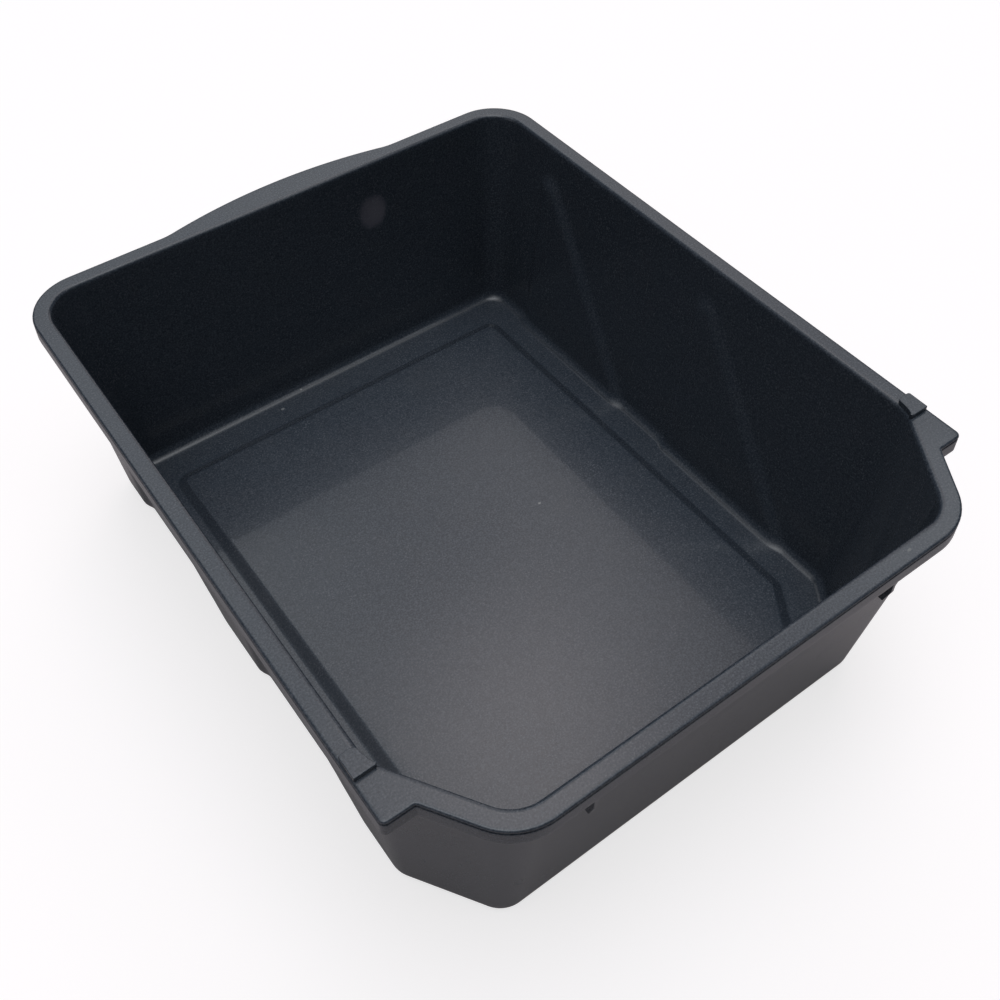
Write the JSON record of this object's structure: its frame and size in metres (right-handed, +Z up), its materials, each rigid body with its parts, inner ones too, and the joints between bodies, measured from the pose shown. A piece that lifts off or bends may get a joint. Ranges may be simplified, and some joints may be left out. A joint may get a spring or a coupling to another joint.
{
  "type": "reagent reservoir",
  "caption": "Open plastic tub with leaning walls, a skirted rim, chamfered front corners with ears and tabs, and a bowed rear grip, for holding liquids or small items.",
  "frame": {"origin": "centre of the bounding box on the surface the tub stands on", "axes": "+Z up out of the opening, +Y towards the bowed grip at the back, -Y towards the chamfered front, X across the tub"},
  "size_m": [0.3186, 0.3966, 0.138],
  "materials": {
    "tub_plastic": "satin moulded plastic, dark slate grey"
  },
  "bodies": {
    "root": {"tub": "tub_plastic"}
  },
  "joints": []
}
